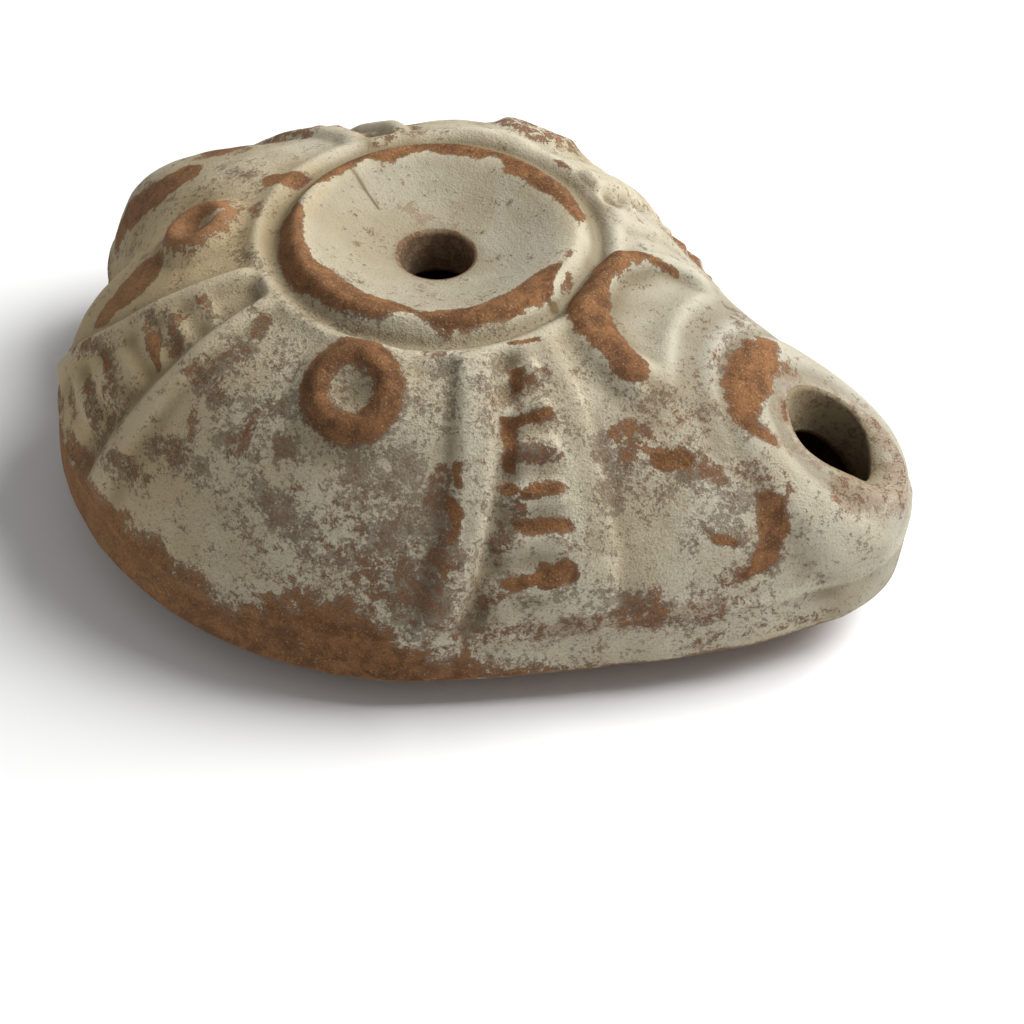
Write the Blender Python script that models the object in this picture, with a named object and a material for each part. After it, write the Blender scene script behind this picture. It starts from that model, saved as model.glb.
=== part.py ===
# A mould-pressed clay oil lamp, in metres: one hollow vessel with a filling hole and a wick hole.
# The form is worked out about the middle of the filling ring, with +X to the nozzle and +Z up.
# The finished lamp stands with the middle of its length and width on the origin, its base at z = 0.

import math

import bmesh
import bpy
import numpy as np

# Plan, seen from above
BODY_RADIUS = 0.0346
BODY_SET_BACK = 0.0042
NOZZLE_RADIUS = 0.0132
NOZZLE_REACH = 0.0350
BASE_SHARE = 0.55
UNDER_POWER = 0.85

# Heights
SHOULDER_HEIGHT = 0.0312
WIDEST_HEIGHT = 0.0060
WIDEST_SWAY = ((1, -0.0005, 0.0008), (2, 0.0009, 0.0005))
RING_LEAN = -0.028
LEAN_POWER = 4

# Section of the upper side, from the shoulder out to the widest line
SHOULDER_RADIUS = 0.0161
OUTWARD_POWER = 1.245
DOWNWARD_POWER = 1.05

# The hand-pressed outline is out of true by these waves, and by swells at angles in degrees
PLAN_WAVES = ((1, 0.0, -0.0004), (2, 0.0005, -0.0008), (3, 0.0004, -0.0006))
PLAN_SWELLS = ((166.5, 0.0040, 12.0), (-179.0, -0.0018, 11.0), (-3.0, -0.0009, 13.0), (-26.0, 0.0004, 9.0))

# Walls, and how much thicker the roof is under the dish than elsewhere
WALL = 0.0032
FLOOR = 0.0032
ROOF_DROP = 0.0018

# Filling ring, its dish, the groove round it and the border outside that
FILLING_HOLE_RADIUS = 0.0036
RING_RADIUS = 0.0135
RING_HALF_WIDTH = 0.0013
RING_INNER_WIDTH = 0.0050
RING_HEIGHT = 0.0015
DISH_DROP = 0.0020
DISH_POWER = 1.0
GROOVE_RADIUS = 0.0157
GROOVE_HALF_WIDTH = 0.0010
GROOVE_DEPTH = 0.0006
BORDER_RADIUS = 0.0174
BORDER_HALF_WIDTH = 0.0009
BORDER_HEIGHT = 0.0005

# Wick hole and the raised collar on its inner side
WICK_REACH = 0.0409
WICK_HOLE_RADIUS = 0.0041
COLLAR_RADIUS = 0.0082
COLLAR_HALF_WIDTH = 0.0018
COLLAR_HEIGHT = 0.0007

# Horseshoe ridge at the root of the nozzle, thinner on the far side, and the ridges that curve
# across it about the wick hole
HORSESHOE_REACH = 0.0243
HORSESHOE_RADIUS = 0.0077
HORSESHOE_SET_OVER = -0.0006
HORSESHOE_HALF_WIDTH = 0.0016
HORSESHOE_TAPER = 0.0005
HORSESHOE_HEIGHT = 0.0011
FLAT_TOP = 4
CROSS_RIDGE_RADII = (0.0118, 0.0159)
CROSS_RIDGE_HALF_WIDTH = 0.0008
CROSS_RIDGE_HEIGHT = 0.0006
CROSS_RIDGE_REACH = 0.0072

# Broad hollows and swells of the upper side: angle, share down the section, size, two spreads
BROAD_FORMS = (
    (-31.0, 0.52, -0.0013, 9.0, 0.20),
    (33.0, 0.55, -0.0020, 10.0, 0.22),
    (52.0, 0.48, -0.0009, 12.0, 0.20),
    (97.0, 0.10, 0.0006, 13.0, 0.10),
    (128.0, 0.38, -0.0013, 16.0, 0.22),
    (87.0, 0.38, -0.0004, 14.0, 0.22),
    (166.0, 0.64, 0.0014, 8.0, 0.17),
    (-1.0, 0.74, 0.0036, 12.0, 0.15),
    (18.0, 0.60, -0.0013, 8.0, 0.20),
)

# Bosses: angle, share down the section, radius of the mound
BOSSES = ((-87.0, 0.255, 0.0062), (87.0, 0.30, 0.0062), (-166.5, 0.27, 0.0052))
BOSS_HEIGHT = 0.0011
BOSS_RING_SHARE = 0.53
BOSS_RING_HEIGHT = 0.0007
BOSS_RING_WIDTH_SHARE = 0.17
BOSS_DIMPLE_DEPTH = 0.0008
BOSS_DIMPLE_SHARE = 0.28

# Branch panels: angle of each rib at the ring, height, half width and the side on which it falls off
# sharply; the other side falls gently, and the rib widens towards its foot
RIBS = (
    (-33.5, 0.0007, 0.0011, 1),
    (-52.0, 0.0010, 0.0011, 1),
    (-125.0, 0.0008, 0.0009, 0),
    (-139.0, 0.0009, 0.0009, 0),
    (33.5, 0.0007, 0.0011, -1),
    (52.0, 0.0010, 0.0011, -1),
    (125.0, 0.0008, 0.0009, 0),
    (139.0, 0.0008, 0.0012, 0),
)
RIB_BACK_SPREAD = 2.4
RIB_FOOT_SPREAD = 1.5
RIB_START = 0.10
RIB_END = 0.84
RIB_FADE = 0.05
RIB_POWER = 3
CHANNEL_SET_OFF = 0.0023
CHANNEL_DEPTH = 0.0008
CHANNELLED_RIBS = ((-52.0, 1), (-125.0, -1), (52.0, -1), (125.0, 1))
# Bars: angles between which they run, share of the first one, step and number of bars
BARS = ((38.0, 48.0, 0.190, 0.110, 6), (129.0, 137.0, 0.270, 0.088, 6))
BAR_HEIGHT = 0.0007
BAR_HALF_WIDTH = 0.027
BAR_FADE = 1.5

# The whole pattern sweeps away from the nozzle towards the rim: angle at the ring, sweep at the rim
SWEEP = ((0.0, 0.0), (33.5, 7.5), (52.0, 14.5), (87.0, 0.0), (125.0, 6.5), (139.0, 21.0), (180.0, 0.0))
SWEEP_SHARE = 0.86
SWEEP_POWER = 1.5

# Mould seam round the rim
SEAM_SHARE = 0.87
SEAM_HEIGHT = 0.0003
SEAM_HALF_WIDTH = 0.012

# How far the round cutters run above the shoulder, and how far the wick hole's starts above the rim
CUTTER_RISE = 0.010
WICK_CUTTER_START = 0.001

# Fineness of the mesh: columns in degrees, rows of the ring in metres and of the slope in shares
WIDEST_STEP = 5.5
NARROWEST_STEP = 1.5
RIB_STEPS = (-2.0, -0.9, 0.0, 0.9, 2.0)
BOSS_STEPS = (-1.0, -0.75, -0.5, -0.25, 0.0, 0.25, 0.5, 0.75, 1.0)
HORSESHOE_STEPS = range(-24, 25, 4)
RING_ROWS = (0.0050, 0.0090, 0.0121, RING_RADIUS, 0.0149, GROOVE_RADIUS)
FIRST_SHARE = 0.035
PANEL_START = 0.08
PANEL_ROWS = 24
RIM_SHARES = (0.92, 0.965, 1.0)
UNDER_ROWS = 4
CAVITY_COLUMNS = 40
CAVITY_SHARES = (0.0, 0.2, 0.4, 0.6, 0.8, 1.0)
HOLE_SIDES = 32
SMOOTH_BELOW = 50.0

# Clay under a worn slip
CLAY_COLOUR = (0.49, 0.42, 0.30, 1.0)
CLAY_ROUGHNESS = 0.85

OBJECT_NAME = "lamp_body"


def plan_radius(angle):
    """Distance from the ring's middle to the rim, as of a band round a body circle and a nozzle circle."""
    lean = np.linspace(-math.pi, math.pi, 721)
    reach = np.maximum(BODY_RADIUS - BODY_SET_BACK * np.cos(lean),
                       NOZZLE_RADIUS + NOZZLE_REACH * np.cos(lean))
    facing = np.cos(lean[None, :] - np.asarray(angle)[:, None])
    limits = np.where(facing > 0.02, reach[None, :] / np.maximum(facing, 0.02), np.inf)
    radius = limits.min(axis=1)
    for order, along, across in PLAN_WAVES:
        radius = radius + along * np.cos(order * angle) + across * np.sin(order * angle)
    for centre, size, spread in PLAN_SWELLS:
        radius = radius + size * np.exp(-(turn_between(angle, centre) / math.radians(spread)) ** 4)
    return radius


def turn_between(angle, degrees):
    """Angle in radians, from -pi to pi, between an angle and a direction in degrees."""
    return (angle - math.radians(degrees) + math.pi) % (2 * math.pi) - math.pi


def bump(distance, half_width, power=2):
    return np.exp(-np.abs(distance / half_width) ** power)


def within(value, first, last, fade):
    """One between two limits and nothing beyond them, with a fade as wide as stated at each."""
    return np.clip((value - first) / fade + 0.5, 0, 1) * np.clip((last - value) / fade + 0.5, 0, 1)


def widest_height(angle):
    height = np.full_like(angle, WIDEST_HEIGHT)
    for order, along, across in WIDEST_SWAY:
        height = height + along * np.cos(order * angle) + across * np.sin(order * angle)
    return height


def sweep(angle_at_ring, share):
    """Angle of a line of the pattern after it has swept round on its way down to the rim."""
    degrees = np.degrees(angle_at_ring)
    at_ring, at_rim = zip(*SWEEP)
    turned = np.interp(np.abs(degrees), at_ring, at_rim) * np.sign(degrees)
    return angle_at_ring + np.radians(turned) * (share / SWEEP_SHARE) ** SWEEP_POWER


def slope_point(angle, share, inset=0.0, lowered=0.0):
    """Point of the smooth upper side: share 0 is at the shoulder and 1 at the widest line."""
    rim = plan_radius(angle) - inset
    low = widest_height(angle)
    top = SHOULDER_HEIGHT - lowered
    turn = share * math.pi / 2
    out = SHOULDER_RADIUS + (rim - SHOULDER_RADIUS) * np.sin(turn) ** OUTWARD_POWER
    up = low + (top - low) * np.clip(np.cos(turn), 0, 1) ** DOWNWARD_POWER
    return np.stack([out * np.cos(angle), out * np.sin(angle), up], axis=-1)


def ring_section(radius):
    """Height above the shoulder of the dish, ring, groove and border at a distance from the middle."""
    ring_width = np.where(radius < RING_RADIUS, RING_INNER_WIDTH, RING_HALF_WIDTH)
    ring = RING_HEIGHT * bump(radius - RING_RADIUS, ring_width)
    groove = GROOVE_DEPTH * bump(radius - GROOVE_RADIUS, GROOVE_HALF_WIDTH)
    border = BORDER_HEIGHT * bump(radius - BORDER_RADIUS, BORDER_HALF_WIDTH)
    inside = np.clip((RING_RADIUS - radius) / (RING_RADIUS - FILLING_HOLE_RADIUS), 0, 1)
    return ring - groove + border - DISH_DROP * inside ** DISH_POWER


def relief(angle_at_ring, angle, share, point):
    """Height of the moulded pattern above the smooth upper side."""
    x, y = point[..., 0], point[..., 1]
    radius = np.hypot(x, y)
    height = ring_section(radius)

    for degrees, low_share, size, spread, share_spread in BROAD_FORMS:
        across = turn_between(angle, degrees) / math.radians(spread)
        height += size * np.exp(-across ** 2 - ((share - low_share) / share_spread) ** 2)

    along_rib = within(share, RIB_START, RIB_END, RIB_FADE)
    for degrees, rise, half_width, side in RIBS:
        off = turn_between(angle_at_ring, degrees) * radius
        width = half_width * (1 + (RIB_FOOT_SPREAD - 1) * share / RIB_END)
        width = width * np.where(off * side < 0, RIB_BACK_SPREAD, 1)
        height += rise * bump(off, width, RIB_POWER) * along_rib
    for degrees, side in CHANNELLED_RIBS:
        off = turn_between(angle_at_ring, degrees) * radius - side * CHANNEL_SET_OFF
        height -= CHANNEL_DEPTH * bump(off, CHANNEL_SET_OFF / 2) * along_rib

    for first, last, first_share, step, count in BARS:
        turned = np.abs(np.degrees(angle_at_ring))
        length = within(turned, first, last, BAR_FADE)
        for number in range(count):
            height += BAR_HEIGHT * length * bump(share - first_share - number * step, BAR_HALF_WIDTH)

    for degrees, boss_share, boss_radius in BOSSES:
        centre = slope_point(np.array([math.radians(degrees)]), boss_share)
        off = np.linalg.norm(point - centre, axis=-1) / boss_radius
        height += BOSS_HEIGHT * np.clip(1 - off ** 2, 0, 1)
        height += BOSS_RING_HEIGHT * bump(off - BOSS_RING_SHARE, BOSS_RING_WIDTH_SHARE)
        height -= BOSS_DIMPLE_DEPTH * bump(off, BOSS_DIMPLE_SHARE)

    ahead = x - HORSESHOE_REACH
    aside = y - HORSESHOE_SET_OVER
    off_arch = np.where(ahead < 0, np.hypot(ahead, aside), np.abs(aside)) - HORSESHOE_RADIUS
    arch_width = HORSESHOE_HALF_WIDTH - HORSESHOE_TAPER * np.clip(aside / HORSESHOE_RADIUS, -1, 1)
    arch = bump(off_arch, arch_width, FLAT_TOP) * bump(np.maximum(ahead, 0), HORSESHOE_HALF_WIDTH)
    height += HORSESHOE_HEIGHT * np.where(radius > GROOVE_RADIUS, arch, 0)

    from_wick = np.hypot(x - WICK_REACH, y)
    across = bump(aside, CROSS_RIDGE_REACH, FLAT_TOP) * (x < WICK_REACH)
    for ridge_radius in CROSS_RIDGE_RADII:
        height += CROSS_RIDGE_HEIGHT * bump(from_wick - ridge_radius, CROSS_RIDGE_HALF_WIDTH) * across
    height += COLLAR_HEIGHT * bump(from_wick - COLLAR_RADIUS, COLLAR_HALF_WIDTH, FLAT_TOP)
    height += SEAM_HEIGHT * bump(share - SEAM_SHARE, SEAM_HALF_WIDTH)
    return height


def column_angles():
    """Angles at the ring of the mesh's columns, close together where ribs and bosses need them."""
    marks = {-180.0, 180.0}
    marks.update(HORSESHOE_STEPS)
    for degrees, _rise, half_width, _side in RIBS:
        reach = math.degrees(half_width / BODY_RADIUS)
        marks.update(degrees + reach * step for step in RIB_STEPS)
    for degrees, _share, boss_radius in BOSSES:
        reach = math.degrees(boss_radius / (SHOULDER_RADIUS + boss_radius))
        marks.update(degrees + reach * step for step in BOSS_STEPS)
    kept = [-180.0]
    for mark in sorted(marks):
        gap = mark - kept[-1]
        if gap < NARROWEST_STEP:
            continue
        swept = sweep(np.radians([kept[-1], mark]), SWEEP_SHARE)
        widest = max(gap, math.degrees(swept[1] - swept[0]))
        parts = math.ceil(widest / WIDEST_STEP)
        kept.extend([kept[-1] + gap * (part + 1) / parts for part in range(parts)])
    return np.radians(kept[:-1])


def outer_rows():
    """Closed rows of points down the outside, from the dish to the edge of the base."""
    at_ring = column_angles()
    rows = []
    for radius in RING_ROWS:
        height = SHOULDER_HEIGHT + ring_section(np.full_like(at_ring, radius))
        rows.append(np.stack([radius * np.cos(at_ring), radius * np.sin(at_ring), height], axis=-1))
    panel = np.linspace(PANEL_START, SEAM_SHARE, PANEL_ROWS)
    shares = np.concatenate([[FIRST_SHARE], panel, RIM_SHARES])
    for share in shares:
        angle = sweep(at_ring, min(share, SWEEP_SHARE))
        point = slope_point(angle, share)
        turn = share * math.pi / 2
        outward = np.stack([math.sin(turn) * np.cos(angle), math.sin(turn) * np.sin(angle),
                            np.full_like(angle, math.cos(turn))], axis=-1)
        rows.append(point + outward * relief(at_ring, angle, share, point)[:, None])
    for row in rows:
        row[:, 2] += RING_LEAN * row[:, 1] * (row[:, 2] / SHOULDER_HEIGHT) ** LEAN_POWER
    angle = sweep(at_ring, SWEEP_SHARE)
    rows.extend(under_rows(angle, plan_radius(angle), widest_height(angle), 0.0, UNDER_ROWS))
    return rows


def under_rows(angle, rim, low, floor, count):
    """Rows of the quarter round from the widest line in to the flat base or floor."""
    rows = []
    for number in range(1, count + 1):
        turn = number / count * math.pi / 2
        out = rim * (1 - (1 - BASE_SHARE) * (1 - math.cos(turn)) ** UNDER_POWER)
        up = low - (low - floor) * math.sin(turn)
        rows.append(np.stack([out * np.cos(angle), out * np.sin(angle), up], axis=-1))
    return rows


def cavity_rows():
    """Rows of the hollow, a wall's thickness inside the smooth form."""
    angle = np.radians(np.arange(CAVITY_COLUMNS) * 360.0 / CAVITY_COLUMNS)
    rows = []
    for share in CAVITY_SHARES:
        lowered = DISH_DROP + WALL + ROOF_DROP * (1 - share)
        rows.append(slope_point(angle, share, WALL, lowered))
    rows.extend(under_rows(angle, plan_radius(angle) - WALL, widest_height(angle), FLOOR, UNDER_ROWS))
    return rows


def loft(name, rows, collection):
    """Closed mesh through rows of points that run anticlockwise, from the top row to the bottom one."""
    mesh = bmesh.new()
    rings = [[mesh.verts.new(point) for point in row] for row in rows]
    count = len(rings[0])
    top = mesh.verts.new((0.0, 0.0, float(rows[0][:, 2].mean())))
    bottom = mesh.verts.new((0.0, 0.0, float(rows[-1][:, 2].mean())))
    for number in range(count):
        after = (number + 1) % count
        mesh.faces.new((top, rings[0][number], rings[0][after]))
        mesh.faces.new((bottom, rings[-1][after], rings[-1][number]))
        for upper, lower in zip(rings, rings[1:]):
            mesh.faces.new((upper[number], lower[number], lower[after], upper[after]))
    data = bpy.data.meshes.new(name)
    mesh.to_mesh(data)
    mesh.free()
    thing = bpy.data.objects.new(name, data)
    collection.objects.link(thing)
    return thing


def hole_cutter(name, x, radius, low, high, collection):
    """Upright round cutter for a hole through the upper wall."""
    mesh = bmesh.new()
    bmesh.ops.create_cone(mesh, cap_ends=True, segments=HOLE_SIDES, radius1=radius, radius2=radius,
                          depth=high - low)
    bmesh.ops.translate(mesh, vec=(x, 0.0, (high + low) / 2), verts=mesh.verts)
    data = bpy.data.meshes.new(name)
    mesh.to_mesh(data)
    mesh.free()
    thing = bpy.data.objects.new(name, data)
    collection.objects.link(thing)
    return thing


def cut(thing, cutter):
    """Takes the cutter's shape out of the lamp and leaves the cutter as a guide."""
    cutter.hide_render = True
    cutter.display_type = "WIRE"
    modifier = thing.modifiers.new(cutter.name, "BOOLEAN")
    modifier.operation = "DIFFERENCE"
    modifier.solver = "EXACT"
    modifier.object = cutter


def clay():
    """Buff slip over orange clay, dull and dry."""
    material = bpy.data.materials.new("slipped_clay")
    material.use_nodes = True
    shader = material.node_tree.nodes["Principled BSDF"]
    shader.inputs["Base Color"].default_value = CLAY_COLOUR
    shader.inputs["Roughness"].default_value = CLAY_ROUGHNESS
    shader.inputs["Metallic"].default_value = 0.0
    material.diffuse_color = CLAY_COLOUR
    return material


def centre_shift(rows):
    """Shift that puts the middle of the length and width on the origin."""
    points = np.concatenate(rows)
    low, high = points.min(axis=0), points.max(axis=0)
    return -(low[0] + high[0]) / 2, -(low[1] + high[1]) / 2


def main():
    for old in list(bpy.data.objects):
        bpy.data.objects.remove(old, do_unlink=True)
    lamp_parts = bpy.data.collections.new("roman_oil_lamp")
    cutters = bpy.data.collections.new("cutters")
    bpy.context.scene.collection.children.link(lamp_parts)
    bpy.context.scene.collection.children.link(cutters)

    rows = outer_rows()
    lamp = loft(OBJECT_NAME, rows, lamp_parts)
    lamp.data.materials.append(clay())
    hollow = loft("hollow", cavity_rows(), cutters)
    above = SHOULDER_HEIGHT + CUTTER_RISE
    roof = SHOULDER_HEIGHT - DISH_DROP - WALL - ROOF_DROP
    filling = hole_cutter("filling_hole", 0.0, FILLING_HOLE_RADIUS, roof - WALL, above, cutters)
    wick_start = WIDEST_HEIGHT + WICK_CUTTER_START
    wick = hole_cutter("wick_hole", WICK_REACH, WICK_HOLE_RADIUS, wick_start, above, cutters)

    shift_x, shift_y = centre_shift(rows)
    for thing in (lamp, hollow, filling, wick):
        thing.location = (shift_x, shift_y, 0.0)
    for cutter in (hollow, filling, wick):
        cut(lamp, cutter)
    lamp.data.shade_smooth()
    lamp.data.set_sharp_from_angle(angle=math.radians(SMOOTH_BELOW))


main()
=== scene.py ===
import math

import bpy
import numpy as np
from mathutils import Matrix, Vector


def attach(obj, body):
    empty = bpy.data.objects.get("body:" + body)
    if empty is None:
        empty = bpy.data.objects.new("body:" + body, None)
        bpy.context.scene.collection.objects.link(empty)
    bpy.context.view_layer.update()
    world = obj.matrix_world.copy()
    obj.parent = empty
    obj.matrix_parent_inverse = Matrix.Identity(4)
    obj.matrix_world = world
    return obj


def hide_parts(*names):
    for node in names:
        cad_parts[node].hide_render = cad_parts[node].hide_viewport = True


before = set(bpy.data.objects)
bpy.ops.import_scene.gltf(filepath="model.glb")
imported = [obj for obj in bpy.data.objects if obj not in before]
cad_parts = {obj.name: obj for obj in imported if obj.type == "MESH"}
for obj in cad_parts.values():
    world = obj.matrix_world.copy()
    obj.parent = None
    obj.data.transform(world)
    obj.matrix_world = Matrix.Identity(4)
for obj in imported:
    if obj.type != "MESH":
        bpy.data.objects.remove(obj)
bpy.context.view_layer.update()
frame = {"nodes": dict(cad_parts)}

print("frame loaded:", ", ".join(frame["nodes"]))

# The lamp's form, in metres and degrees, about the middle of the filling ring
form = {
    "ringCentre": (-.0040549, -.0003855),
    "bodyRadius": .0346, "bodySetBack": .0042,
    "nozzleRadius": .0132, "nozzleReach": .035,
    "baseShare": .55, "underPower": .85,
    "shoulderHeight": .0312, "shoulderRadius": .0161,
    "widestHeight": .006, "widestSway": ((1, -.0005, .0008), (2, .0009, .0005)),
    "ringLean": -.028, "leanPower": 4,
    "outwardPower": 1.245, "downwardPower": 1.05,
    "planWaves": ((1, 0, -.0004), (2, .0005, -.0008), (3, .0004, -.0006)),
    "planSwells": ((166.5, .004, 12), (-179, -.0018, 11),
                   (-3, -.0009, 13), (-26, .0004, 9)),
    "leastFacing": .02,  # leans further off than this cosine don't bound the plan
    "wall": .0032, "floor": .0032, "roofDrop": .0018, "dishDrop": .002, "dishPower": 1,
    "fillingHole": .0036, "wickReach": .0409, "wickHole": .0041,
    "lip": .0005, "foot": .0004,  # how far the holes' edges are rounded above and stop short below
}

# How finely the surface is divided
grid = {
    "tableSteps": 1441, "leanSteps": 721, "sweepLevels": 40, "spacingSteps": 7201,
    "columns": 544, "evenShare": .62,  # the share at which the columns are evenly spaced
    "ringRows": 42, "slopeRows": 94, "underRows": 8,
    "crowding": (.25, .8),  # this part of each slope row's share is raised to that power
    "holeBlock": 28, "blockReach": 2, "innerBlockReach": 1.8, "blockEdge": .999,
    "innerUpper": (0, .5, 8), "innerLower": (.53, .97), "innerLowerMore": 4,
    "innerUnderRows": 5, "innerRoofRows": 6, "lipSteps": 4, "fillingSteps": 6, "wickSteps": 16,
}

# What was moulded on it: heights and half widths in metres, angles at the ring in degrees
pattern = {
    "ring": (.0135, .0013, .0015), "ringInner": .005, "groove": (.0157, .001, .0006),
    "border": (.0174, .0009, .0005),
    "broad": ((-31, .52, -.0013, 9, .2), (33, .55, -.002, 10, .22), (52, .48, -.0009, 12, .2),
              (97, .1, .0006, 13, .1), (128, .38, -.0013, 16, .22), (87, .38, -.0004, 14, .22),
              (166, .64, .0014, 8, .17), (-1, .74, .0036, 12, .15), (18, .6, -.0013, 8, .2)),
    "bosses": ((-87, .255, .0062), (87, .3, .0062), (-166.5, .27, .0052)),
    "bossHeight": .0011, "bossRing": (.53, .17, .0007), "bossDimple": (.28, .0008),
    "ribs": ((-33.5, .0007, .0011, 1), (-52, .001, .0011, 1), (-125, .0008, .0009, 0),
             (-139, .0009, .0009, 0), (33.5, .0007, .0011, -1), (52, .001, .0011, -1),
             (125, .0008, .0009, 0), (139, .0008, .0012, 0)),
    "ribRun": (.1, .84, .05), "ribSpread": (2.1, 1.5),
    "ribPower": 3, "steepPower": 6, "steepFrom": 50,  # ribs past these degrees drop steeply behind
    "channels": ((-52, 1), (-125, -1), (52, -1), (125, 1)),
    "channelSetOff": .0023, "channelDepth": .0008,
    "bars": ((38, 48, .19, .11, 6, .0007), (129, 137, .27, .088, 6, .0004)),
    "barHalf": .027, "barFade": 1.5,
    "sweepAt": (0, 33.5, 52, 87, 125, 139, 180),
    "sweepBy": (0, 7.5, 14.5, 0, 6.5, 21, 0), "sweepShare": .86, "sweepPower": 1.5,
    "horseshoe": (.0243, .0077, .0016, .0011), "horseshoeOver": -.0006, "horseshoeTaper": .0005,
    "crossRidges": (.0118, .0159), "crossRidge": (.0008, .0006, .0072),
    "collar": (.0082, .0018, .0007), "seam": (.87, .012, .0003),
    "flatTop": 4,  # power of the bumps with a flat top
    "reliefFrom": .014,  # relief on the slope fades out inwards to this radius
    # unevenness from the hand: size of the lumps, height, seed; its share in the ring
    "uneven": ((.009, .00016, 3), (.0038, .0001, 4), (.0016, .00005, 5)), "unevenInRing": .5,
}


def turnBetween(angle, degrees):  # angle less a direction in degrees, brought between -pi and pi
    return (angle - math.radians(degrees) + math.pi) % (2 * math.pi) - math.pi


def bump(distance, half, power=2):  # e to the minus (distance over half width) to a power
    return np.exp(-np.abs(distance / half) ** power)


def within(value, first, last, fade):  # 1 between two limits, with a straight fade at each
    return np.clip((value - first) / fade + 0.5, 0, 1) * np.clip((last - value) / fade + 0.5, 0, 1)


def smooth(value, low, high):  # 0 at low, 1 at high, 3t^2 - 2t^3 between
    t = np.clip((value - low) / (high - low), 0, 1)
    return t * t * (3 - 2 * t)


def lumps(points, size, seed):
    # random values on a lattice of that spacing, blended by 3t^2 - 2t^3 between its corners
    side = 32
    table = np.random.default_rng(seed).uniform(-1, 1, (side, side, side))
    scaled = points / size
    cell = np.floor(scaled).astype(int)
    part = scaled - cell
    part = part * part * (3 - 2 * part)
    total = np.zeros(points.shape[:-1])
    for corner in range(8):
        step = np.array([corner & 1, corner >> 1 & 1, corner >> 2])
        at = (cell + step) % side
        weight = np.prod(np.where(step == 1, part, 1 - part), axis=-1)
        total += weight * table[at[..., 0], at[..., 1], at[..., 2]]
    return total


# Plan radius: a band round the body circle and the nozzle circle, so at each angle the least of
# reach(lean) / cos(lean - angle) over all leans; then the waves and swells of a hand-pressed outline
planAngles = np.linspace(-math.pi, math.pi, grid["tableSteps"])
lean = np.linspace(-math.pi, math.pi, grid["leanSteps"])
reach = np.maximum(form["bodyRadius"] - form["bodySetBack"] * np.cos(lean),
                   form["nozzleRadius"] + form["nozzleReach"] * np.cos(lean))
facing = np.cos(lean[None, :] - planAngles[:, None])
least = form["leastFacing"]
planTable = np.where(facing > least, reach[None, :] / np.maximum(facing, least), np.inf).min(axis=1)
for order, along, across in form["planWaves"]:
    planTable += along * np.cos(order * planAngles) + across * np.sin(order * planAngles)
for centre, size, spread in form["planSwells"]:
    planTable += size * np.exp(-(turnBetween(planAngles, centre) / math.radians(spread)) ** 4)


def planRadius(angle):  # linear between the table's angles
    return np.interp(turnBetween(angle, 0.0), planAngles, planTable)


def widestHeight(angle):  # height of the widest line: a constant and two waves
    height = np.full(np.shape(angle), form["widestHeight"])
    for order, along, across in form["widestSway"]:
        height += along * np.cos(order * angle) + across * np.sin(order * angle)
    return height


def slopePoint(angle, share, inset=0.0, lowered=0.0):
    # from the shoulder to the widest line: out by sin^a and down by cos^b of a quarter turn
    rim = planRadius(angle) - inset
    low = widestHeight(angle)
    turn = share * math.pi / 2
    start = form["shoulderRadius"]
    out = start + (rim - start) * np.sin(turn) ** form["outwardPower"]
    up = low + (form["shoulderHeight"] - lowered - low) * np.clip(np.cos(turn), 0, 1) ** form["downwardPower"]
    return np.stack([out * np.cos(angle), out * np.sin(angle), up], axis=-1)


def shareAt(angle, out, inset=0.0):
    # the share at which slopePoint is that far out: the same formula, turned round
    start = form["shoulderRadius"]
    part = np.clip((out - start) / (planRadius(angle) - inset - start), 0, 1)
    return np.arcsin(part ** (1 / form["outwardPower"])) * 2 / math.pi


# The sweep undone, as a table over strength and angle: each swept angle is looked up for where it started
sweepStarts = np.radians(np.linspace(-180, 180, grid["tableSteps"]))
sweepTurns = np.radians(np.interp(np.abs(np.degrees(sweepStarts)), pattern["sweepAt"], pattern["sweepBy"]))
sweepTurns = sweepTurns * np.sign(sweepStarts)
sweepLevels = grid["sweepLevels"]
sweepTable = np.stack([np.interp(planAngles, sweepStarts + sweepTurns * level / sweepLevels, sweepStarts)
                       for level in range(sweepLevels + 1)])


def angleAtRing(angle, share):  # two linear blends between the table's neighbours
    strength = (np.minimum(share, pattern["sweepShare"]) / pattern["sweepShare"]) ** pattern["sweepPower"]
    down = strength * sweepLevels
    along = (turnBetween(angle, 0.0) + math.pi) / (2 * math.pi) * (len(planAngles) - 1)
    row = np.minimum(down.astype(int), sweepLevels - 1)
    column = np.minimum(along.astype(int), len(planAngles) - 2)
    down, along = down - row, along - column
    upper = sweepTable[row, column] * (1 - along) + sweepTable[row, column + 1] * along
    lower = sweepTable[row + 1, column] * (1 - along) + sweepTable[row + 1, column + 1] * along
    return upper * (1 - down) + lower * down


def ringSection(radius):  # ring and border as bumps, the groove as a hollow one, the dish as a power curve
    ringAt, ringHalf, ringRise = pattern["ring"]
    ringHalf = np.where(radius < ringAt, pattern["ringInner"], ringHalf)
    grooveAt, grooveHalf, grooveDepth = pattern["groove"]
    borderAt, borderHalf, borderRise = pattern["border"]
    inside = np.clip((ringAt - radius) / (ringAt - form["fillingHole"]), 0, 1)
    return (ringRise * bump(radius - ringAt, ringHalf) - grooveDepth * bump(radius - grooveAt, grooveHalf)
            + borderRise * bump(radius - borderAt, borderHalf)
            - form["dishDrop"] * inside ** form["dishPower"])


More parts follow.
